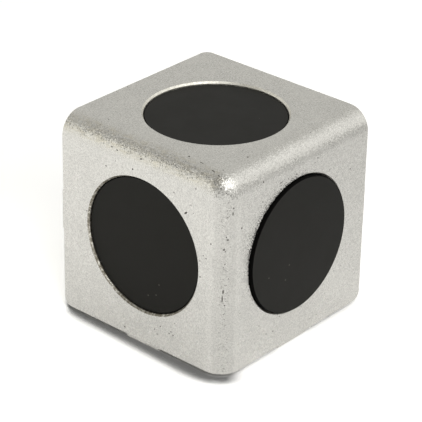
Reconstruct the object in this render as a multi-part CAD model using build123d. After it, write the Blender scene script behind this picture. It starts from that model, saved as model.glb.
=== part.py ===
from build123d import *
import os

# Three way corner connector for 45 mm slotted aluminium profile, in millimetres.
# One die cast cube joins the ends of three profiles at a right angle corner.
# The profiles stand against its three seats, which face +X, +Y and -Z, and a screw
# through each seat goes into the core bore of its profile. The screws go in through
# the opposite faces, which face -X, -Y and +Z, and a round plastic cap closes each.
# The origin is the middle of the cube, where the axes of the three profiles cross.

# Casting
cube_side = 45.0
outer_edge_radius = 4.9  # where two capped faces meet
inner_edge_radius = 2.0  # where two seats meet
seam_chamfer = 0.2  # where a capped face meets a seat
seat_wall = 7.0  # wall that a profile is screwed against
screw_hole_diameter = 13.0  # clears an M12 screw

# Stepped bore under each cap: a pocket for the disc, a ledge and a narrower well
pocket_diameter = 30.2
pocket_lip_chamfer = 0.2
ledge_width = 2.1  # flat ring that the disc rests on
cap_recess = 0.6  # how far a cap that is pushed home lies below its face

# Lugs that key each seat into the slots of its profile
lug_width = 9.7  # a slot is 10 mm wide
lug_length = 6.0
lug_height = 0.7
lug_corner_radius = 0.6
lug_draft = 8.0  # degrees
foot_lug_setback = 0.3  # from the capped faces, on the seat that faces down
side_lug_setback = 0.45  # from the capped faces, on the two upright seats

# Caps
disc_thickness = 2.0
disc_clearance = 0.15  # all round, in the pocket
disc_edge_chamfer = 0.12
leg_count = 4
leg_span = 52.0  # degrees of the ring that one leg takes up
leg_length = 5.0
leg_thickness = 1.5
leg_clearance = 0.08  # all round, in the well
leg_chamfer = 0.4  # lead-in at the tip of a leg
loose_cap_lift = 1.25  # how far the right cap still stands off its ledge

# Sizes that follow
half_side = cube_side / 2
pocket_depth = cap_recess + disc_thickness
well_radius = pocket_diameter / 2 - ledge_width
stub = 1.0  # how far a lug's root or a cutter runs past the face that it crosses


def on_face(direction, across):
    """Frame in the middle of one face of the cube, with its Z axis pointing outwards."""
    outward = Vector(*direction)
    return Plane(origin=outward * half_side, x_dir=across, z_dir=outward)


capped_faces = {
    "top": on_face((0, 0, 1), (1, 0, 0)),
    "left": on_face((-1, 0, 0), (0, -1, 0)),
    "right": on_face((0, -1, 0), (1, 0, 0)),
}
# Each seat's X axis and its own -Y axis point at the two capped faces beside it.
seats = [
    (on_face((1, 0, 0), (0, -1, 0)), side_lug_setback),
    (on_face((0, 1, 0), (0, 0, 1)), side_lug_setback),
    (on_face((0, 0, -1), (-1, 0, 0)), foot_lug_setback),
]


def edges_between(solid, directions):
    """The edges of the cube where two of the faces with these outward directions meet."""
    found = ShapeList()
    for edge in solid.edges():
        reached = [d for d in directions if edge.center().dot(Vector(*d)) > half_side - 1e-6]
        if len(reached) == 2:
            found.append(edge)
    return found


def sharp_edges(solid):
    """The edges where two faces meet at a corner, rather than in a tangent line."""
    found = ShapeList()
    for edge in solid.edges():
        middle = edge @ 0.5
        normals = [face.normal_at(middle) for face in solid.faces() if edge in face.edges()]
        if normals[0].get_angle(normals[1]) > 45:
            found.append(edge)
    return found


def rounded_cube():
    """The cube with its large outer and small inner roundings, and its seams broken."""
    cube = Box(cube_side, cube_side, cube_side)
    cube = fillet(edges_between(cube, [(0, 0, 1), (-1, 0, 0), (0, -1, 0)]), outer_edge_radius)
    cube = fillet(edges_between(cube, [(0, 0, -1), (1, 0, 0), (0, 1, 0)]), inner_edge_radius)
    return chamfer(sharp_edges(cube), seam_chamfer)


def stepped_bore():
    """Cutter for a pocket, a well and a screw hole, down from a capped face at Z = 0."""
    pocket_radius = pocket_diameter / 2
    lip_radius = pocket_radius + pocket_lip_chamfer
    screw_hole_radius = screw_hole_diameter / 2
    well_depth = cube_side - seat_wall
    profile = Polyline(
        (0, stub),
        (lip_radius, stub),
        (lip_radius, 0),
        (pocket_radius, -pocket_lip_chamfer),
        (pocket_radius, -pocket_depth),
        (well_radius, -pocket_depth),
        (well_radius, -well_depth),
        (screw_hole_radius, -well_depth),
        (screw_hole_radius, -cube_side - stub),
        (0, -cube_side - stub),
        close=True,
    )
    return revolve(Plane.XZ * make_face(profile), Axis.Z)


def lug():
    """One lug that rises from Z = 0, with its outer end at X = 0 and a root below."""
    outline = Pos(-lug_length / 2, 0) * RectangleRounded(lug_length, lug_width, lug_corner_radius)
    return extrude(outline, lug_height, taper=lug_draft) + extrude(outline, -stub)


def lug_ring(setback):
    """The four lugs of a seat, one at the middle of each side, in the seat's frame."""
    beside_capped_face = half_side - setback
    beside_seat = half_side - inner_edge_radius
    reaches = [beside_capped_face, beside_seat, beside_seat, beside_capped_face]
    ring = Part()
    for quarter, reach in enumerate(reaches):
        ring += Rot(0, 0, quarter * 90) * Pos(reach, 0, 0) * lug()
    return ring


def corner_cube():
    """The die casting: rounded cube, three stepped bores that cross inside, and lugs."""
    casting = rounded_cube()
    for frame in capped_faces.values():
        casting -= frame * stepped_bore()
    for frame, setback in seats:
        casting += frame * lug_ring(setback)
    return casting


def cap():
    """One cap: a disc with its face at Z = 0 and a ring of spring legs under it."""
    disc = Pos(0, 0, -disc_thickness / 2) * Cylinder(
        pocket_diameter / 2 - disc_clearance, disc_thickness
    )
    disc = chamfer(disc.edges().group_by(Axis.Z)[-1], disc_edge_chamfer)
    outer = well_radius - leg_clearance
    inner = outer - leg_thickness
    tip = -disc_thickness - leg_length
    section = Polyline(
        (inner, -disc_thickness),
        (outer, -disc_thickness),
        (outer, tip + leg_chamfer),
        (outer - leg_chamfer, tip),
        (inner, tip),
        close=True,
    )
    leg = revolve(Plane.XZ * make_face(section), Axis.Z, leg_span)
    first = (360 / leg_count - leg_span) / 2
    legs = [Rot(0, 0, first + turn * 360 / leg_count) * leg for turn in range(leg_count)]
    return disc + legs


lifts = {"top": 0.0, "left": 0.0, "right": loose_cap_lift}
nodes = {"corner_cube": corner_cube()}
for side, frame in capped_faces.items():
    nodes["cover_cap_" + side] = frame * Pos(0, 0, lifts[side] - cap_recess) * cap()

os.makedirs("parts", exist_ok=True)
for name, shape in nodes.items():
    export_step(shape, "parts/" + name + ".step")
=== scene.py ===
"""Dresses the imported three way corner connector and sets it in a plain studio.

The casting and its three caps are modelled again with flared pockets, small pits, rub marks and a
blasted finish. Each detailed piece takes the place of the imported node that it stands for.
"""

import math
import random

import bmesh
import bpy
from mathutils import Matrix, Vector


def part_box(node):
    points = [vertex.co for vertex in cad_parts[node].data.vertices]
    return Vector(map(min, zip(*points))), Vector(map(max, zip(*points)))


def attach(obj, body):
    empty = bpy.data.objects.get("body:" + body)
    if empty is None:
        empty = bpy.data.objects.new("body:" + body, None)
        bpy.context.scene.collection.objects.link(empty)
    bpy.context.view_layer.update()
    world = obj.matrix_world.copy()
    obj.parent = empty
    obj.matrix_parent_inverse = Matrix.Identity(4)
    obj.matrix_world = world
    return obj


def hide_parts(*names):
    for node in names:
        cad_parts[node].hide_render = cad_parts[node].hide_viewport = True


bl_info = {
    "name": "Corner Connector",
    "version": (1, 0, 0),
    "blender": (4, 5, 0),
    "location": "View3D > Sidebar > Connector",
    "description": "Builds a three way corner connector with its caps and a plain studio",
    "category": "Add Mesh",
}

MM = 0.001
TINY = 1e-6
FULL_TURN = 2 * math.pi
QUARTER_TURN = math.pi / 2
# Steps round a pocket or a cap's disc.
ROUND_STEPS = 144

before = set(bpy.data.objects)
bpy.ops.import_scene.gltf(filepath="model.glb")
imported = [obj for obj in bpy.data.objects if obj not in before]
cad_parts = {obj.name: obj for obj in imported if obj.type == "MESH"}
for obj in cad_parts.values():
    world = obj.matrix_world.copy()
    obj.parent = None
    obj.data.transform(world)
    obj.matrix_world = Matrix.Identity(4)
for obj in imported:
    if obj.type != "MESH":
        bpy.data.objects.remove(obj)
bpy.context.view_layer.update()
cube_low, cube_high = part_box("corner_cube")
# The casting's box is the cube and the lugs that stand out of its three seats.
CUBE_SIDE = -2 * cube_low.x
LUG_HEIGHT = cube_high.x + cube_low.x
FLOOR_HEIGHT = cube_low.z
HALF_SIDE = CUBE_SIDE / 2


def length(name, description, millimetres):
    """A length property, in metres, with its default given in millimetres."""
    return bpy.props.FloatProperty(
        name=name,
        description=description,
        default=millimetres * MM,
        min=0.0,
        precision=5,
        subtype="DISTANCE",
        unit="LENGTH",
    )


def share(name, description, default):
    """A property from 0 to 1."""
    return bpy.props.FloatProperty(
        name=name, description=description, default=default, min=0.0, max=1.0, subtype="FACTOR"
    )


def colour(name, description, default):
    """A linear colour property."""
    return bpy.props.FloatVectorProperty(
        name=name, description=description, default=default, size=3, min=0.0, max=1.0,
        subtype="COLOR",
    )


def angle(name, description, degrees):
    """An angle property, with its default given in degrees."""
    return bpy.props.FloatProperty(
        name=name, description=description, default=math.radians(degrees), subtype="ANGLE",
        unit="ROTATION",
    )


def power(name, description, watts):
    """The power of a lamp, in watts."""
    return bpy.props.FloatProperty(
        name=name, description=description, default=watts, min=0.0, subtype="POWER", unit="POWER"
    )


class CastingSizes(bpy.types.PropertyGroup):
    outer_edge_radius: length("Outer edge radius", "Rounding where two capped faces meet", 4.9)
    inner_edge_radius: length("Inner edge radius", "Rounding where two seats meet", 2.0)
    seam_radius: length("Seam radius", "Rounding where a capped face meets a seat", 0.28)
    seat_wall: length("Seat wall", "Thickness of the wall that a profile is screwed against", 7.0)
    screw_hole_diameter: length("Screw hole diameter", "Hole through each seat", 13.0)
    pocket_diameter: length("Pocket diameter", "Pocket that takes a cap's disc", 30.2)
    pocket_depth: length("Pocket depth", "From a capped face down to the ledge", 2.6)
    pocket_lip_width: length("Pocket lip width", "Flare at a pocket's mouth, along the face", 0.30)
    pocket_lip_depth: length("Pocket lip depth", "The same flare, down the pocket's wall", 0.42)
    ledge_width: length("Ledge width", "Flat ring that a disc rests on", 2.1)
    lug_width: length("Lug width", "Across the slot that a lug keys into", 9.7)
    lug_length: length("Lug length", "Along the slot that a lug keys into", 6.0)
    lug_corner_radius: length("Lug corner radius", "Rounding of a lug's upright corners", 0.6)
    lug_top_radius: length("Lug top radius", "Rounding of the edge round a lug's top", 0.16)
    lug_draft: angle("Lug draft", "Slope of a lug's sides", 8.0)
    foot_lug_setback: length("Foot lug setback", "From the capped faces, on the lower seat", 0.3)
    side_lug_setback: length("Side lug setback", "From the capped faces, on an upright seat", 0.45)
    pit_depth: length("Pit depth", "Depth of the small pits in the skin", 0.08)
    pits_a_face: bpy.props.IntProperty(
        name="Pits a face", description="Small pits scattered on each face", default=7, min=0
    )


class CapSizes(bpy.types.PropertyGroup):
    disc_diameter: length("Disc diameter", "Across a cap's disc", 29.9)
    disc_thickness: length("Disc thickness", "Thickness of a cap's disc", 2.0)
    disc_edge_radius: length("Disc edge radius", "Rounding round the face of a cap", 0.15)
    leg_length: length("Leg length", "From the disc to the tip of a leg", 5.0)
    leg_thickness: length("Leg thickness", "Wall of the ring of legs", 1.5)
    leg_clearance: length("Leg clearance", "Between the legs and the well", 0.08)
    leg_chamfer: length("Leg chamfer", "Lead-in at the tip of a leg", 0.4)
    leg_span: angle("Leg span", "Part of the ring that one leg takes up", 52.0)
    leg_count: bpy.props.IntProperty(
        name="Leg count", description="Spring legs under each disc", default=4, min=2
    )


class Finishes(bpy.types.PropertyGroup):
    metal: colour("Metal", "Blasted aluminium skin of the casting", (0.62, 0.61, 0.58))
    metal_roughness: share("Metal roughness", "Roughness of the blasted skin", 0.25)
    grain_size: length("Grain size", "Distance between the dimples of the blasting", 0.28)
    grain_height: length("Grain height", "Depth of the dimples of the blasting", 0.03)
    facet_tilt: angle("Facet tilt", "Most that a facet of the blasting leans over", 10.5)
    grime: colour("Grime", "Dark dirt in the pores of the casting", (0.09, 0.085, 0.075))
    turned: colour("Turned metal", "Machined walls of the pockets and wells", (0.86, 0.84, 0.77))
    pocket_dirt: colour("Pocket dirt", "Brown dirt on the walls of the pockets", (0.20, 0.18, 0.14))
    stain: colour("Stain", "Brown stain along the top left rounding", (0.54, 0.50, 0.40))
    plastic: colour("Plastic", "Black plastic of the caps", (0.0035, 0.0034, 0.0028))
    plastic_roughness: share("Plastic roughness", "Roughness of the caps", 0.5)
    # Painted shade: a darker, duller copy of the cap plastic for the rim, the side and the legs.
    cap_side_painted_shade: colour("Cap side", "Dull black rim, side and legs of a cap", (0.0022, 0.0021, 0.0019))
    dust: colour("Dust", "Pale dust on the caps", (0.30, 0.28, 0.24))


class Studio(bpy.types.PropertyGroup):
    floor: colour("Floor", "Colour of the floor", (0.82, 0.82, 0.823))
    room: colour("Room", "Even light of the room", (0.75, 0.745, 0.715))
    backdrop: colour("Backdrop", "Warm white backdrop on the left", (0.60, 0.59, 0.54))
    flag: share("Flag", "How much light the dark flag at the left takes away", 0.90)
    view_azimuth: angle("View azimuth", "Turn of the camera, which looks along +Y at 0", 310.63)
    view_elevation: angle("View elevation", "Height angle of the camera", 27.91)
    view_roll: angle("View roll", "Tilt of the camera about its line of sight", 1.14)
    view_distance: length("View distance", "From the camera to the object's middle", 443.7)
    view_shift: bpy.props.FloatVectorProperty(
        name="View shift", description="Shift of the lens, as a share of the sensor",
        default=(-0.00791, -0.00528), size=2, precision=5,
    )
    lens: bpy.props.FloatProperty(
        name="Lens", description="Focal length in millimetres on a 36 mm sensor", default=179.5
    )
    softbox_power: power("Softbox power", "Large soft lamp on the right of the camera", 1.28)
    key_power: power("Key power", "Long bright lamp above and right of the camera", 0.84)
    side_power: power("Side power", "Soft lamp at the right", 0.45)


# Which way each capped face looks, and an axis that lies in it.
CAPPED_FACES = {
    "top": ((0, 0, 1), (1, 0, 0)),
    "left": ((-1, 0, 0), (0, -1, 0)),
    "right": ((0, -1, 0), (1, 0, 0)),
}
# Each seat's X axis and its own -Y axis point at the two capped faces beside it.
SEATS = [
    ((1, 0, 0), (0, -1, 0), "side_lug_setback"),
    ((0, 1, 0), (0, 0, 1), "side_lug_setback"),
    ((0, 0, -1), (-1, 0, 0), "foot_lug_setback"),
]
# Name, degrees round and up, width and height in metres, degrees turned, and where the power is.
LAMPS = [
    ("Softbox", (258, 42), (0.80, 0.80), 0, "softbox_power"),
    ("Key lamp", (243, 48), (0.20, 0.76), 45, "key_power"),
    ("Side lamp", (323, 31), (0.60, 0.60), 0, "side_power"),
]
LAMP_DISTANCE = 0.7
# Places of dust on the left and right caps, in millimetres.
DUST_SPOTS = [
    (-3.1, -23.15, -3.4),
    (-9.6, -23.15, -3.8),
    (-4.2, -23.15, -6.5),
    (-21.9, -1.3, -11.2),
    (-21.9, -3.5, -10.3),
    (-21.9, -4.3, -7.6),
]
# Large pits: place, length and width in millimetres, and the way that the length runs.
PITS = [
    # Left face
    ((-22.5, 4.8, -21.0), 0.55, 0.3, (0, 1, 0.3)),
    ((-22.5, -5.3, -16.8), 0.25, 0.35, (0, 1, 0)),
    ((-22.5, -3.7, -18.1), 0.25, 0.35, (0, 1, 0)),
    ((-22.5, -4.4, -19.0), 0.3, 0.3, (0, 1, 1)),
    ((-22.5, -8.2, -16.9), 0.3, 0.3, (0, 1, 0)),
    ((-22.5, -7.7, -17.5), 0.25, 0.35, (0, 1, 0)),
    ((-22.5, -8.8, -17.5), 0.35, 0.35, (0, 1, 1)),
    ((-22.5, -11.9, 12.1), 1.0, 0.4, (0, -1, 0.8)),
    ((-22.5, -8.7, 15.5), 0.25, 0.35, (0, 1, 0)),
    ((-22.5, -13.2, 14.3), 0.25, 0.3, (0, 1, 0)),
    ((-22.5, 15.5, 2.6), 0.25, 0.35, (0, 1, 0)),
    ((-22.5, -15.8, 2.7), 0.25, 0.3, (0, 1, 0)),
    ((-22.5, -15.9, -0.9), 0.3, 0.35, (0, 1, 0)),
    ((-22.5, 9.9, 15.0), 0.35, 0.35, (0, 1, 0)),
    ((-22.5, 2.5, 16.8), 0.4, 0.4, (0, 1, 0)),
    ((-22.5, -17.4, 3.8), 0.35, 0.25, (0, 1, 0)),
    # Right face
    ((-11.4, -22.5, 18.5), 0.35, 0.45, (1, 0, 0)),
    ((-6.0, -22.5, 16.3), 0.35, 0.4, (1, 0, 1)),
    ((-11.5, -22.5, 14.1), 0.25, 0.35, (1, 0, 0)),
    ((5.7, -22.5, 17.6), 0.3, 0.4, (1, 0, 0)),
    ((4.8, -22.5, 16.8), 0.25, 0.3, (1, 0, 0)),
    ((16.8, -22.5, 11.0), 0.3, 0.35, (1, 0, 0)),
    ((-11.5, -22.5, -14.5), 0.25, 0.35, (1, 0, 0)),
    ((-6.9, -22.5, -17.8), 0.3, 0.35, (1, 0, 0)),
    ((-9.1, -22.5, -17.5), 0.25, 0.3, (1, 0, 0)),
    # Top face
    ((-11.3, -18.1, 22.5), 0.45, 0.4, (1, 0, 0)),
    # Front edge
    ((-17.8, -22.5, 10.7), 0.55, 0.35, (0, 0, 1)),
    ((-19.8, -22.0, 15.7), 0.45, 0.25, (0, 0, 1)),
    ((-19.9, -21.9, 14.5), 0.8, 0.25, (0, 0, 1)),
    ((-20.7, -21.4, 8.8), 0.35, 0.45, (0, 0, 1)),
    ((-20.9, -21.2, 9.4), 0.35, 0.2, (0, 0, 1)),
    ((-21.2, -20.9, 6.6), 0.4, 0.4, (0, 0, 1)),
    ((-21.0, -21.1, 6.2), 0.25, 0.25, (0, 0, 1)),
    ((-21.2, -20.9, -3.0), 1.05, 0.3, (0, 0, 1)),
    ((-21.3, -20.8, -4.6), 1.7, 0.25, (0, 0, 1)),
    ((-22.4, -18.5, 7.5), 0.35, 0.35, (0, 1, 0)),
    # Top left rounding
    ((-19.1, -12.9, 22.3), 1.05, 0.2, (0, -1, 0)),
    ((-19.8, -16.5, 22.0), 1.05, 0.2, (-0.2, -1, 0)),
    ((-21.1, -16.6, 21.0), 0.25, 0.2, (0, 1, 0)),
    ((-22.1, 8.6, 19.6), 0.55, 0.25, (0, 1, 0)),
    ((-22.2, 7.1, 19.4), 0.45, 0.25, (0, 1, 0.4)),
    ((-22.1, 0.6, 19.6), 0.45, 0.4, (0, 1, 0)),
    ((-18.8, -9.3, 22.3), 0.45, 0.35, (0, 1, 0)),
    ((-22.4, -14.4, 18.3), 0.3, 0.3, (0, 1, 0)),
    # Front corner
    ((-20.2, -18.3, 21.7), 0.7, 0.2, (-0.2, -1, 0)),
    ((-21.5, -18.5, 20.5), 0.3, 0.15, (0, 1, 0)),
    ((-21.3, -19.9, 19.8), 0.4, 0.2, (0.3, -1, -0.4)),
    ((-20.9, -20.9, 19.1), 0.4, 0.2, (0.6, -1, -0.6)),
    ((-20.3, -21.6, 18.5), 0.3, 0.2, (0.6, -0.4, -0.4)),
]


def face_frame(outward, across):
    """Frame in the middle of one face of the cube, with its Z axis pointing outwards."""
    z, x = Vector(outward), Vector(across)
    turn = Matrix((x, z.cross(x), z)).transposed().to_4x4()
    return Matrix.Translation(z * HALF_SIDE) @ turn


def towards(azimuth, elevation):
    """A direction from the object, by its degrees round from +X and up from the floor."""
    turn, rise = math.radians(azimuth), math.radians(elevation)
    level = math.cos(rise)
    return Vector((level * math.cos(turn), level * math.sin(turn), math.sin(rise)))


# ---------------------------------------------------------------- meshes


def mesh_object(name, bm, materials):
    """Turns a bmesh into an object of the scene, with smooth shading."""
    bmesh.ops.recalc_face_normals(bm, faces=bm.faces[:])
    mesh = bpy.data.meshes.new(name)
    bm.to_mesh(mesh)
    bm.free()
    for material in materials:
        mesh.materials.append(material)
    mesh.shade_smooth()
    piece = bpy.data.objects.new(name, mesh)
    bpy.context.scene.collection.objects.link(piece)
    return piece


def lathe(bm, profile, steps, span=FULL_TURN):
    """Sweeps a profile of (radius, height) points about Z; a part turn gets flat ends."""
    whole = span >= FULL_TURN - TINY
    places = steps if whole else steps + 1
    rings = []
    for radius, height in profile:
        if radius < TINY:
            rings.append([bm.verts.new((0, 0, height))])
            continue
        turns = [span * i / steps for i in range(places)]
        rings.append(
            [bm.verts.new((radius * math.cos(t), radius * math.sin(t), height)) for t in turns]
        )
    pairs = list(zip(rings, rings[1:]))
    if not whole:
        pairs.append((rings[-1], rings[0]))
    for lower, upper in pairs:
        for i in range(steps):
            j = (i + 1) % places
            if len(lower) == 1:
                bm.faces.new((lower[0], upper[j], upper[i]))
            elif len(upper) == 1:
                bm.faces.new((lower[i], lower[j], upper[0]))
            else:
                bm.faces.new((lower[i], lower[j], upper[j], upper[i]))
    if not whole:
        bm.faces.new([ring[0] for ring in rings])
        bm.faces.new([ring[-1] for ring in reversed(rings)])


def boolean(piece, tool, operation):
    """Cuts the tool out of the piece, or joins it to the piece, and removes the tool."""
    modifier = piece.modifiers.new(operation.title(), "BOOLEAN")
    modifier.object = tool
    modifier.operation = operation
    modifier.solver = "EXACT"
    modifier.material_mode = "TRANSFER"
    settle(piece)
    bpy.data.objects.remove(tool)


def settle(piece):
    """Replaces a piece's mesh by what its modifiers make of it."""
    bpy.context.view_layer.update()
    depsgraph = bpy.context.evaluated_depsgraph_get()
    settled = bpy.data.meshes.new_from_object(piece.evaluated_get(depsgraph))
    before = piece.data
    piece.modifiers.clear()
    piece.data = settled
    bpy.data.meshes.remove(before)
    settled.name = piece.name


def crisp_shading(piece):
    """Flat faces stay flat and roundings run smoothly into them."""
    together = 0.0005 * MM
    sharp = math.radians(32)
    bm = bmesh.new()
    bm.from_mesh(piece.data)
    bmesh.ops.remove_doubles(bm, verts=bm.verts[:], dist=together)
    bmesh.ops.dissolve_degenerate(bm, edges=bm.edges[:], dist=together)
    for face in bm.faces:
        face.smooth = True
    for edge in bm.edges:
        edge.smooth = edge.is_manifold and edge.calc_face_angle(0) < sharp
    bm.to_mesh(piece.data)
    bm.free()
    weighted = piece.modifiers.new("Weighted normals", "WEIGHTED_NORMAL")
    weighted.mode = "FACE_AREA"
    weighted.weight = 100
    weighted.keep_sharp = True


def rounded_cube(sizes):
    """The cube with its large outer and small inner roundings, and its seams broken."""
    bm = bmesh.new()
    bmesh.ops.create_cube(bm, size=CUBE_SIDE)
    outer = [face[0] for face in CAPPED_FACES.values()]
    inner = [seat[0] for seat in SEATS]
    for directions, radius, steps in (
        (outer, sizes.outer_edge_radius, 16),
        (inner, sizes.inner_edge_radius, 8),
    ):
        chosen = []
        for edge in bm.edges:
            middle = (edge.verts[0].co + edge.verts[1].co) / 2
            reached = [d for d in directions if middle.dot(Vector(d)) > HALF_SIDE - TINY]
            if len(reached) == 2:
                chosen.append(edge)
        round_off(bm, chosen, radius, steps)
    bm.normal_update()
    seams = [edge for edge in bm.edges if edge.calc_face_angle(0) > QUARTER_TURN / 2]
    round_off(bm, seams, sizes.seam_radius, 4)
    return bm


def round_off(bm, edges, radius, steps):
    """Rounds these edges."""
    bmesh.ops.bevel(
        bm, geom=edges, offset=radius, offset_type="OFFSET", segments=steps, profile=0.5,
        affect="EDGES", clamp_overlap=True,
    )


def stepped_bore(sizes, place):
    """Cutter for a pocket, a well and a screw hole, down from a capped face."""
    pocket = sizes.pocket_diameter / 2
    lip = pocket + sizes.pocket_lip_width
    well = pocket - sizes.ledge_width
    hole = sizes.screw_hole_diameter / 2
    bottom = -(CUBE_SIDE - sizes.seat_wall)
    # How far the cutter runs past the skin, and its bevels: at the lip, at each step and at the hole.
    past = 1.0 * MM
    broken = 0.03 * MM
    corner = 0.12 * MM
    chamfer = 0.25 * MM
    profile = [
        (0, past),
        (lip + broken, past),
        (lip + broken, 0.1 * broken),
        (lip, -broken),
        (pocket, -sizes.pocket_lip_depth),
        (pocket, -sizes.pocket_depth),
        (well + corner, -sizes.pocket_depth),
        (well, -sizes.pocket_depth - corner),
        (well, bottom),
        (hole + corner, bottom),
        (hole, bottom - corner),
        (hole, -CUBE_SIDE + chamfer),
        (hole + chamfer, -CUBE_SIDE),
        (hole + chamfer, -CUBE_SIDE - past),
        (0, -CUBE_SIDE - past),
    ]
    bm = bmesh.new()
    lathe(bm, profile, ROUND_STEPS)
    bmesh.ops.transform(bm, matrix=place, verts=bm.verts[:])
    return bm


def lug_ring(bm, sizes, place, setback):
    """The four lugs of a seat, one at the middle of each side."""
    beside_capped_face = HALF_SIDE - setback
    beside_seat = HALF_SIDE - sizes.inner_edge_radius
    reaches = [beside_capped_face, beside_seat, beside_seat, beside_capped_face]
    for quarter, reach in enumerate(reaches):
        turn = Matrix.Rotation(quarter * QUARTER_TURN, 4, "Z")
        lug(bm, sizes, place @ turn @ Matrix.Translation((reach, 0, 0)))


def lug(bm, sizes, place):
    """One lug, with its outer end at X = 0, a root below and a rounded edge round its top."""
    corner_steps, top_steps, root = 6, 4, 1.0 * MM
    radius = sizes.lug_corner_radius
    shoulder = LUG_HEIGHT - sizes.lug_top_radius
    slope = math.tan(sizes.lug_draft)
    levels = [(-root, 0.0), (0.0, 0.0), (shoulder, shoulder * slope)]
    for i in range(1, top_steps + 1):
        t = QUARTER_TURN * i / top_steps
        rise = sizes.lug_top_radius * math.sin(t)
        inset = sizes.lug_top_radius * (1 - math.cos(t))
        levels.append((shoulder + rise, shoulder * slope + inset))
    half_width = sizes.lug_width / 2
    centres = [
        (-radius, half_width - radius),
        (-sizes.lug_length + radius, half_width - radius),
        (-sizes.lug_length + radius, -half_width + radius),
        (-radius, -half_width + radius),
    ]
    rings = []
    for height, inset in levels:
        ring = []
        r = radius - inset
        for corner, (x, y) in enumerate(centres):
            for i in range(corner_steps + 1):
                t = QUARTER_TURN * (corner + i / corner_steps)
                point = Vector((x + r * math.cos(t), y + r * math.sin(t), height))
                ring.append(bm.verts.new(place @ point))
        rings.append(ring)
    for lower, upper in zip(rings, rings[1:]):
        for i in range(len(lower)):
            j = (i + 1) % len(lower)
            bm.faces.new((lower[i], lower[j], upper[j], upper[i]))
    bm.faces.new(rings[-1])
    bm.faces.new(list(reversed(rings[0])))


def skin_point(sizes, place):
    """The point of the rounded skin by a place near a capped face, and the way out there."""
    inside = HALF_SIDE - sizes.outer_edge_radius
    point = Vector(place) * MM
    core = Vector((max(point.x, -inside), max(point.y, -inside), min(point.z, inside)))
    outward = (point - core).normalized()
    return core + outward * sizes.outer_edge_radius, outward


def pit(bm, sizes, middle, outward, along, long, wide):
    """Cutter for one small pit: half of a flattened ball in the skin."""
    side = outward.cross(along).normalized()
    along = side.cross(outward)
    scale = Matrix.Diagonal((long / 2, wide / 2, sizes.pit_depth, 1))
    turn = Matrix((along, side, outward)).transposed().to_4x4()
    bmesh.ops.create_icosphere(
        bm, subdivisions=2, radius=1.0, matrix=Matrix.Translation(middle) @ turn @ scale
    )


def pits(sizes):
    """Cutters for the pits: large ones listed, and small ones scattered on every face."""
    bm = bmesh.new()
    for place, long, wide, along in PITS:
        middle, outward = skin_point(sizes, place)
        pit(bm, sizes, middle, outward, Vector(along), long * MM, wide * MM)
    chance = random.Random(7)
    # The small ones lie in rings between the pocket and the edges, or the hole and the lugs.
    by_pocket = sizes.pocket_diameter / 2 + 0.6 * MM
    by_edges = HALF_SIDE - 3.6 * MM
    by_hole = sizes.screw_hole_diameter / 2 + 1.0 * MM
    by_lugs = HALF_SIDE - 8.5 * MM
    rings = [(face, by_pocket, by_edges) for face in CAPPED_FACES.values()]
    rings += [(seat[:2], by_hole, by_lugs) for seat in SEATS]
    for (outward, across), nearest, furthest in rings:
        face = face_frame(outward, across)
        for _ in range(sizes.pits_a_face):
            reach, turn = chance.uniform(nearest, furthest), chance.uniform(0, FULL_TURN)
            middle = face @ Vector((reach * math.cos(turn), reach * math.sin(turn), 0))
            along = face.to_3x3() @ Vector((chance.uniform(-1, 1), 1, 0))
            wide = chance.uniform(0.10, 0.20) * MM
            long = wide * chance.uniform(1, 2.2)
            pit(bm, sizes, middle, Vector(outward), along, long, wide)
    return bm


# ---------------------------------------------------------------- materials


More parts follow.
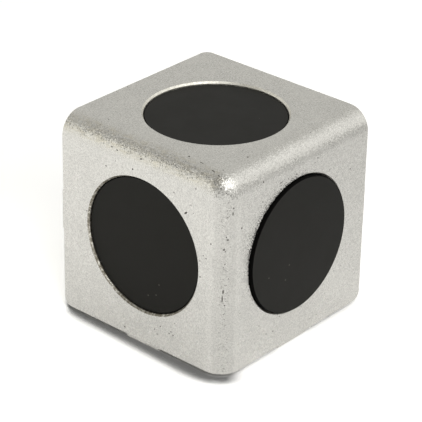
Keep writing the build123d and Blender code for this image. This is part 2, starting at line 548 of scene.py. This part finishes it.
class Nodes:
    """Short calls for the nodes of one material, or of the room."""

    def __init__(self, tree):
        self.tree = tree
        self.shader = tree.nodes.get("Principled BSDF")

    def add(self, kind, settings=None, **inputs):
        """A node with these settings; an input is a value, or the socket that it comes from."""
        node = self.tree.nodes.new(kind)
        for key, value in (settings or {}).items():
            setattr(node, key, value)
        for key, value in inputs.items():
            self.join(node.inputs[key.replace("_", " ")], value)
        return node

    def join(self, socket, value):
        """Gives a socket a value, or links it to the socket that it comes from."""
        if isinstance(value, bpy.types.NodeSocket):
            self.tree.links.new(value, socket)
        else:
            socket.default_value = value

    def math(self, operation, *values):
        """A sum on one, two or three numbers."""
        node = self.add("ShaderNodeMath", {"operation": operation})
        for socket, value in zip(node.inputs, values):
            self.join(socket, value)
        return node.outputs[0]

    def vectors(self, operation, first, second):
        """A sum on two vectors, as the outputs of its node."""
        node = self.add("ShaderNodeVectorMath", {"operation": operation})
        self.join(node.inputs[0], first)
        self.join(node.inputs[1], second)
        return node.outputs

    def ramp(self, value, low, high, to_low=0.0, to_high=1.0):
        """A smooth step from to_low to to_high, as the value goes from low to high."""
        node = self.add(
            "ShaderNodeMapRange", {"interpolation_type": "SMOOTHSTEP"},
            Value=value, From_Min=low, From_Max=high, To_Min=to_low, To_Max=to_high,
        )
        return node.outputs["Result"]

    def mix(self, factor, first, second):
        """A mix of two colours."""
        node = self.add("ShaderNodeMix", {"data_type": "RGBA"})
        # A mix node has sockets for each kind of data: its colours are inputs 6 and 7 and output 2.
        self.join(node.inputs[0], factor)
        self.join(node.inputs[6], first)
        self.join(node.inputs[7], second)
        return node.outputs[2]

    def scaled(self, vector, factor):
        """A vector or a colour times a number."""
        node = self.add("ShaderNodeVectorMath", {"operation": "SCALE"}, Vector=vector, Scale=factor)
        return node.outputs["Vector"]

    def along(self, place, direction):
        """How far a place lies in this direction."""
        return self.vectors("DOT_PRODUCT", place, direction)["Value"]

    def millimetres(self):
        """The place on the object, in millimetres."""
        return self.scaled(self.add("ShaderNodeTexCoord").outputs["Object"], 1 / MM)

    def noise(self, place, size, detail, roughness):
        """Cloudy noise about 0.5, with patches of this size in millimetres."""
        node = self.add(
            "ShaderNodeTexNoise", Vector=place, Scale=1 / size, Detail=detail, Roughness=roughness
        )
        return node.outputs["Fac"]

    def facets(self, place, size, tilt):
        """The surface's normal, tilted at random from one small facet to the next."""
        cells = self.cells(place, size)
        off = self.vectors("SUBTRACT", cells["Color"], (0.5, 0.5, 0.5))["Vector"]
        normal = self.add("ShaderNodeNewGeometry").outputs["Normal"]
        tilted = self.vectors("ADD", normal, self.scaled(off, 2 * tilt))["Vector"]
        unit = self.add("ShaderNodeVectorMath", {"operation": "NORMALIZE"}, Vector=tilted)
        return unit.outputs["Vector"]

    def cells(self, place, size):
        """Random cells of this size, as the outputs of their node."""
        node = self.add("ShaderNodeTexVoronoi", {"feature": "F1"}, Vector=place, Scale=1 / size)
        return node.outputs

    def bump(self, height, depth, normal=None):
        """Gives the shader a bump; a height of 1 stands for the depth, in metres."""
        node = self.add("ShaderNodeBump", Strength=1.0, Distance=depth, Height=height)
        if normal is not None:
            self.join(node.inputs["Normal"], normal)
        self.join(self.shader.inputs["Normal"], node.outputs["Normal"])

    def specks(self, place, spacing, radius, scarcity):
        """1 inside scattered round specks and 0 elsewhere; scarcity is the share left out."""
        cells = self.cells(place, spacing)
        largest = radius / spacing
        soft_rim = 0.35 * largest
        chance = self.add("ShaderNodeSeparateColor", Color=cells["Color"]).outputs[0]
        size = self.math("MULTIPLY", self.ramp(chance, scarcity, 1.0), largest)
        gap = self.math("SUBTRACT", cells["Distance"], size)
        return self.ramp(gap, 0.0, -soft_rim)


def new_material(name):
    """A material, and the short calls for its nodes."""
    material = bpy.data.materials.new(name)
    material.use_nodes = True
    return material, Nodes(material.node_tree)


def rgba(values):
    """A colour property as a socket's value."""
    return (*values, 1.0)


def blasted_metal(finishes):
    """Blasted aluminium with a rubbed front edge and a brown stain along the top left rounding."""
    material, n = new_material("Blasted aluminium")
    place = n.millimetres()
    grain_mm = finishes.grain_size / MM
    grain = n.noise(place, grain_mm, 2.0, 0.55)
    patches = n.noise(place, 1.4, 4.0, 0.6)
    clouds = n.noise(place, 6.0, 3.0, 0.55)
    # Each of these is 1 on a rounding, or at the front corner, and 0 on the faces beside it.
    front_edge = n.ramp(n.along(place, (-1, -1, 0)), 40.9, 41.8)
    top_left_edge = n.ramp(n.along(place, (-1, 0, 1)), 41.1, 41.8)
    corner = n.ramp(n.along(place, (-1, -1, 1)), 57.5, 60.0)

    # Rub marks break up the middle of the front edge and the lower left of the corner.
    aside = n.math("ABSOLUTE", n.along(place, (0.707, -0.707, 0)))
    ridge = n.math("MULTIPLY", front_edge, n.ramp(aside, 1.5, 0.6))
    lower_left = n.ramp(n.along(place, (-0.49, 0.32, -0.81)), -13.6, -12.0)
    edges = n.math("MAXIMUM", ridge, n.math("MULTIPLY", corner, lower_left))
    rubbed = n.math("MULTIPLY", edges, n.ramp(patches, 0.36, 0.50))
    marks = n.ramp(n.noise(place, 0.32, 3.0, 0.7), 0.58, 0.68, 0.0, 0.8)
    pores = n.specks(place, 1.1, 0.16, 0.80)
    dark = n.math("MAXIMUM", pores, n.math("MULTIPLY", rubbed, marks))

    # The grain gives most of the tone, and the front edge is a little darker.
    tone = n.ramp(grain, 0.25, 0.75, 0.82, 1.13)
    tone = n.math("MULTIPLY", tone, n.ramp(clouds, 0.3, 0.7, 0.97, 1.03))
    tone = n.math("MULTIPLY", tone, n.math("MULTIPLY_ADD", front_edge, -0.13, 1.0))
    shade = n.scaled(tuple(finishes.metal), tone)
    # The stain lies in streaks along the rounding, which runs in the Y direction.
    drawn_out = n.add("ShaderNodeMapping", {"vector_type": "VECTOR"}, Vector=place)
    drawn_out.inputs["Scale"].default_value = (1.0, 0.22, 1.0)
    streaks = n.noise(drawn_out.outputs["Vector"], 0.5, 3.0, 0.6)
    stained = n.math("MULTIPLY", top_left_edge, n.ramp(streaks, 0.42, 0.62, 0.04, 0.40))
    shade = n.mix(stained, shade, rgba(finishes.stain))
    n.join(n.shader.inputs["Base Color"], n.mix(dark, shade, rgba(finishes.grime)))

    n.shader.inputs["Metallic"].default_value = 1.0
    even = finishes.metal_roughness
    rough = n.ramp(clouds, 0.3, 0.7, even - 0.04, even + 0.05)
    n.join(n.shader.inputs["Roughness"], n.math("MULTIPLY_ADD", dark, 0.3, rough))
    height = n.math("SUBTRACT", grain, n.math("MULTIPLY", dark, 2.0))
    facets = n.facets(place, 0.6 * grain_mm, finishes.facet_tilt)
    n.bump(height, finishes.grain_height, facets)
    return material


def pit_dirt(finishes):
    """Dry dark dirt in the pits of the casting."""
    material, n = new_material("Pit dirt")
    patches = n.noise(n.millimetres(), 0.3, 2.0, 0.5)
    shade = n.scaled(tuple(finishes.grime), n.ramp(patches, 0.3, 0.7, 0.6, 1.4))
    n.join(n.shader.inputs["Base Color"], shade)
    n.shader.inputs["Roughness"].default_value = 0.85
    return material


def turned_metal(finishes):
    """Machined aluminium of the bores: bright, not polished, and dirtiest in the left pocket."""
    material, n = new_material("Turned aluminium")
    place = n.millimetres()
    dirt = n.noise(place, 0.7, 4.0, 0.6)
    grain = n.noise(place, 0.25, 3.0, 0.6)
    left_pocket = n.ramp(n.along(place, (-1, 0, 0)), 17.0, 20.0, 0.15, 0.95)
    dirty = n.math("MULTIPLY", left_pocket, n.ramp(dirt, 0.28, 0.56))
    shade = n.scaled(tuple(finishes.turned), n.ramp(grain, 0.3, 0.7, 0.85, 1.1))
    n.join(n.shader.inputs["Base Color"], n.mix(dirty, shade, rgba(finishes.pocket_dirt)))
    n.shader.inputs["Metallic"].default_value = 1.0
    n.join(n.shader.inputs["Roughness"], n.ramp(dirt, 0.3, 0.7, 0.36, 0.60))
    n.bump(grain, 0.04 * MM)
    return material


def black_plastic(finishes):
    """Moulded black plastic with a fine texture and a little pale dust."""
    material, n = new_material("Black plastic")
    place = n.millimetres()
    texture = n.noise(place, 0.18, 2.0, 0.5)
    clouds = n.noise(place, 5.0, 3.0, 0.5)
    dust = n.specks(place, 1.6, 0.10, 0.93)
    for spot in DUST_SPOTS:
        away = n.vectors("DISTANCE", place, spot)["Value"]
        dust = n.math("MAXIMUM", dust, n.ramp(away, 0.22, 0.08, 0.0, 0.5))
    tone = n.math(
        "MULTIPLY", n.ramp(clouds, 0.3, 0.7, 0.85, 1.15), n.ramp(texture, 0.3, 0.7, 0.8, 1.2)
    )
    shade = n.scaled(tuple(finishes.plastic), tone)
    dusty = n.mix(n.math("MULTIPLY", dust, 0.5), shade, rgba(finishes.dust))
    n.join(n.shader.inputs["Base Color"], dusty)
    even = finishes.plastic_roughness
    n.join(n.shader.inputs["Roughness"], n.ramp(clouds, 0.3, 0.7, even - 0.02, even + 0.02))
    n.shader.inputs["Specular IOR Level"].default_value = 0.165
    n.shader.inputs["Specular Tint"].default_value = (1.0, 0.97, 0.86, 1.0)
    n.bump(texture, 0.006 * MM)
    return material


def painted_shade_plastic(finishes):
    """The same plastic on the rim, the side and the legs, with painted shade: nearly matt and very
    dark, as the side looks in the shadow of the gap round a disc.
    """
    material, n = new_material("Dull plastic")
    texture = n.noise(n.millimetres(), 0.25, 3.0, 0.5)
    shade = n.scaled(tuple(finishes.cap_side_painted_shade), n.ramp(texture, 0.3, 0.7, 0.7, 1.3))
    n.join(n.shader.inputs["Base Color"], shade)
    n.join(n.shader.inputs["Roughness"], n.ramp(texture, 0.3, 0.7, 0.75, 0.9))
    n.shader.inputs["Specular IOR Level"].default_value = 0.05
    return material


# ---------------------------------------------------------------- operators


class CONNECTOR_OT_casting(bpy.types.Operator):
    """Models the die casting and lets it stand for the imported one"""

    bl_idname = "connector.casting"
    bl_label = "Build Casting"

    def execute(self, context):
        sizes, finishes = context.scene.connector_casting, context.scene.connector_finishes
        skin, bore = blasted_metal(finishes), turned_metal(finishes)
        piece = mesh_object("casting", rounded_cube(sizes), [skin])
        for outward, across in CAPPED_FACES.values():
            cutter = mesh_object("bore", stepped_bore(sizes, face_frame(outward, across)), [bore])
            boolean(piece, cutter, "DIFFERENCE")
        lugs = bmesh.new()
        for outward, across, setback in SEATS:
            lug_ring(lugs, sizes, face_frame(outward, across), getattr(sizes, setback))
        boolean(piece, mesh_object("lugs", lugs, [skin]), "UNION")
        boolean(piece, mesh_object("pits", pits(sizes), [pit_dirt(finishes)]), "DIFFERENCE")
        crisp_shading(piece)
        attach(piece, "root")
        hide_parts("corner_cube")
        return {"FINISHED"}


class CONNECTOR_OT_caps(bpy.types.Operator):
    """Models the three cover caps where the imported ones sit"""

    bl_idname = "connector.caps"
    bl_label = "Build Caps"

    def execute(self, context):
        sizes, finishes = context.scene.connector_caps, context.scene.connector_finishes
        casting = context.scene.connector_casting
        plastics = [black_plastic(finishes), painted_shade_plastic(finishes)]
        for side, (outward, across) in CAPPED_FACES.items():
            node = "cover_cap_" + side
            low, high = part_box(node)
            reach = max(low.dot(Vector(outward)), high.dot(Vector(outward)))
            place = face_frame(outward, across) @ Matrix.Translation((0, 0, reach - HALF_SIDE))
            piece = self.cap(sizes, casting, "cap_" + side, plastics)
            piece.data.transform(place)
            crisp_shading(piece)
            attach(piece, "root")
            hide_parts(node)
        return {"FINISHED"}

    def cap(self, sizes, casting, name, plastics):
        """A disc with its face at Z = 0 and a ring of spring legs under it; only the face shines, and
        the plastic below it has painted shade.
        """
        radius, edge = sizes.disc_diameter / 2, sizes.disc_edge_radius
        edge_steps, leg_steps = 5, 18
        turns = [QUARTER_TURN * i / edge_steps for i in range(edge_steps + 1)]
        rounding = [(radius - edge + edge * math.sin(t), edge * math.cos(t) - edge) for t in turns]
        under = -sizes.disc_thickness
        profile = [(0, 0), (radius / 2, 0), *rounding, (radius, under), (0, under)]
        disc = bmesh.new()
        lathe(disc, profile, ROUND_STEPS)
        piece = mesh_object(name, disc, plastics)
        outer = casting.pocket_diameter / 2 - casting.ledge_width - sizes.leg_clearance
        inner = outer - sizes.leg_thickness
        tip = under - sizes.leg_length
        # The legs start inside the disc, so that the two join.
        root = under + 0.5 * MM
        section = [
            (inner, root),
            (outer, root),
            (outer, tip + sizes.leg_chamfer),
            (outer - sizes.leg_chamfer, tip),
            (inner, tip),
        ]
        legs = bmesh.new()
        pitch = FULL_TURN / sizes.leg_count
        for leg in range(sizes.leg_count):
            first = len(legs.verts)
            lathe(legs, section, leg_steps, sizes.leg_span)
            turn = Matrix.Rotation((pitch - sizes.leg_span) / 2 + leg * pitch, 4, "Z")
            bmesh.ops.transform(legs, matrix=turn, verts=list(legs.verts)[first:])
        boolean(piece, mesh_object("legs", legs, plastics), "UNION")
        # Everything below the flat face is dull and darker: painted shade.
        for face in piece.data.polygons:
            if face.center.z < -0.01 * edge:
                face.material_index = 1
        return piece


class CONNECTOR_OT_studio(bpy.types.Operator):
    """Sets the floor, the room, the lamps and the camera"""

    bl_idname = "connector.studio"
    bl_label = "Set Studio"

    def execute(self, context):
        studio = context.scene.connector_studio
        self.floor(studio)
        self.room(context.scene, studio)
        for name, place, size, turn, watts in LAMPS:
            self.lamp(name, towards(*place), size, turn, getattr(studio, watts))
        self.camera(context.scene, studio)
        context.scene.view_settings.view_transform = "Standard"
        return {"FINISHED"}

    def floor(self, studio):
        """A wide pale floor that the object stands on."""
        reach = 3.0
        bm = bmesh.new()
        bmesh.ops.create_grid(bm, x_segments=8, y_segments=8, size=reach)
        bmesh.ops.translate(bm, verts=bm.verts[:], vec=(0, 0, FLOOR_HEIGHT))
        material, n = new_material("Pale floor")
        n.tree.nodes.remove(n.shader)
        path = n.add("ShaderNodeLightPath").outputs
        place = n.millimetres()
        # Painted light: for the light that it throws, the floor's colour is raised, more for
        # reflections, and fades from bright on the left to dark on the right, so it throws more light
        # at the object from the left than from the right.
        reflected = n.math("MAXIMUM", path["Is Glossy Ray"], path["Is Transmission Ray"])
        painted_falloff = n.ramp(n.along(place, towards(332, 0)), -120.0, 320.0, 1.25, 0.55)
        light = n.math("MULTIPLY", n.math("MULTIPLY_ADD", reflected, 0.30, 1.0), painted_falloff)
        # Seen directly it is white: less light falls on its left and front, so more is given back.
        across = n.along(place, towards(318, 0))
        beside = n.ramp(across, -60.0, 30.0, 2.14, 1.68)
        white = n.ramp(n.along(place, towards(41, 0)), 0.0, 60.0, beside, 1.50)
        # The shadow lies close round the casting's foot, dark on the left and faint on the right: the
        # lamps' real shadow, deepened by a painted shadow in the floor's colour where little of the
        # sky is open above it.
        open_sky = n.add("ShaderNodeAmbientOcclusion", {"samples": 16}, Distance=6.6 * MM)
        above = n.math("ADD", open_sky.outputs["AO"], n.ramp(across, -32.0, -2.0, 0.14, 0.0))
        painted_shadow = n.ramp(above, 0.25, 0.55, 0.32, 0.15)
        painted_shadow = n.math("MAXIMUM", painted_shadow, n.ramp(across, -2.5, 4.0, 0.0, 0.92))
        seen = n.math("MULTIPLY", n.ramp(above, 0.72, 0.87, painted_shadow), white)
        # The camera's own rays take what is seen, and all others take the light.
        more = n.math("SUBTRACT", seen, light)
        factor = n.math("MULTIPLY_ADD", path["Is Camera Ray"], more, light)
        shade = n.scaled(tuple(studio.floor), factor)
        matte = n.add("ShaderNodeBsdfDiffuse", Color=shade)
        n.join(n.tree.nodes["Material Output"].inputs["Surface"], matte.outputs[0])
        mesh_object("floor", bm, [material])

    def room(self, scene, studio):
        """The room's light: even, with a warm backdrop low on the left and a dark flag above it."""
        world = bpy.data.worlds.new("Studio room")
        world.use_nodes = True
        scene.world = world
        n = Nodes(world.node_tree)
        direction = n.add("ShaderNodeTexCoord").outputs["Generated"]
        flag = self.patch(n, direction, towards(170, 45))
        even = n.scaled(tuple(studio.room), n.math("MULTIPLY_ADD", flag, -studio.flag, 1.0))
        # The backdrop is a round patch, full to 22 degrees from its middle and gone at 42.
        nearness = n.along(direction, towards(140, 0))
        patch = n.ramp(nearness, math.cos(math.radians(42)), math.cos(math.radians(22)))
        total = n.vectors("ADD", even, n.scaled(tuple(studio.backdrop), patch))
        n.join(n.tree.nodes["Background"].inputs["Color"], total["Vector"])

    def patch(self, n, direction, middle):
        """1 in the middle of a soft round patch of the room, fading out over a sixth of a turn."""
        tightness = 8.0
        nearness = n.math("MULTIPLY_ADD", n.along(direction, middle), tightness, -tightness)
        return n.math("EXPONENT", nearness)

    def lamp(self, name, direction, size, turn, watts):
        """A soft lamp that looks at the object from this direction, turned about its own axis."""
        light = bpy.data.lights.new(name, "AREA")
        light.energy = watts
        light.shape = "RECTANGLE"
        light.size, light.size_y = size
        lamp = bpy.data.objects.new(name, light)
        place = direction * LAMP_DISTANCE
        turned = Matrix.Rotation(math.radians(turn), 3, "Z")
        aim = place.to_track_quat("Z", "Y").to_matrix() @ turned
        lamp.matrix_world = Matrix.Translation(place) @ aim.to_4x4()
        bpy.context.scene.collection.objects.link(lamp)

    def camera(self, scene, studio):
        """The camera, aimed near the object's middle."""
        azimuth, elevation = math.degrees(studio.view_azimuth), math.degrees(studio.view_elevation)
        back = towards(azimuth - 90, elevation)
        right = Vector((0, 0, 1)).cross(back).normalized()
        level = Matrix((right, back.cross(right), back)).transposed()
        roll = Matrix.Rotation(studio.view_roll, 3, "Z")
        data = bpy.data.cameras.new("Camera")
        data.lens = studio.lens
        data.sensor_width = 36.0
        data.shift_x, data.shift_y = studio.view_shift
        camera = bpy.data.objects.new("Camera", data)
        away = Matrix.Translation(back * studio.view_distance)
        camera.matrix_world = away @ (level @ roll).to_4x4()
        scene.collection.objects.link(camera)
        scene.camera = camera


class CONNECTOR_PT_builder(bpy.types.Panel):
    """Lists the sizes and finishes, and the steps that build the connector"""

    bl_label = "Corner Connector"
    bl_idname = "CONNECTOR_PT_builder"
    bl_space_type = "VIEW_3D"
    bl_region_type = "UI"
    bl_category = "Connector"

    def draw(self, context):
        for operator in OPERATORS:
            self.layout.operator(operator.bl_idname)
        for group in GROUPS:
            box = self.layout.box()
            settings = getattr(context.scene, group)
            for name in GROUPS[group].__annotations__:
                box.prop(settings, name)


OPERATORS = (CONNECTOR_OT_casting, CONNECTOR_OT_caps, CONNECTOR_OT_studio)
GROUPS = {
    "connector_casting": CastingSizes,
    "connector_caps": CapSizes,
    "connector_finishes": Finishes,
    "connector_studio": Studio,
}


def register():
    """Registers the classes and gives the scene one group of each kind."""
    for cls in (*GROUPS.values(), *OPERATORS, CONNECTOR_PT_builder):
        bpy.utils.register_class(cls)
    for name, group in GROUPS.items():
        setattr(bpy.types.Scene, name, bpy.props.PointerProperty(type=group))


def unregister():
    """Takes away what register gave."""
    for name in GROUPS:
        delattr(bpy.types.Scene, name)
    for cls in reversed((*GROUPS.values(), *OPERATORS, CONNECTOR_PT_builder)):
        bpy.utils.unregister_class(cls)


def main():
    """Builds the connector in its studio."""
    register()
    bpy.ops.connector.casting()
    bpy.ops.connector.caps()
    bpy.ops.connector.studio()


if __name__ == "__main__":
    main()
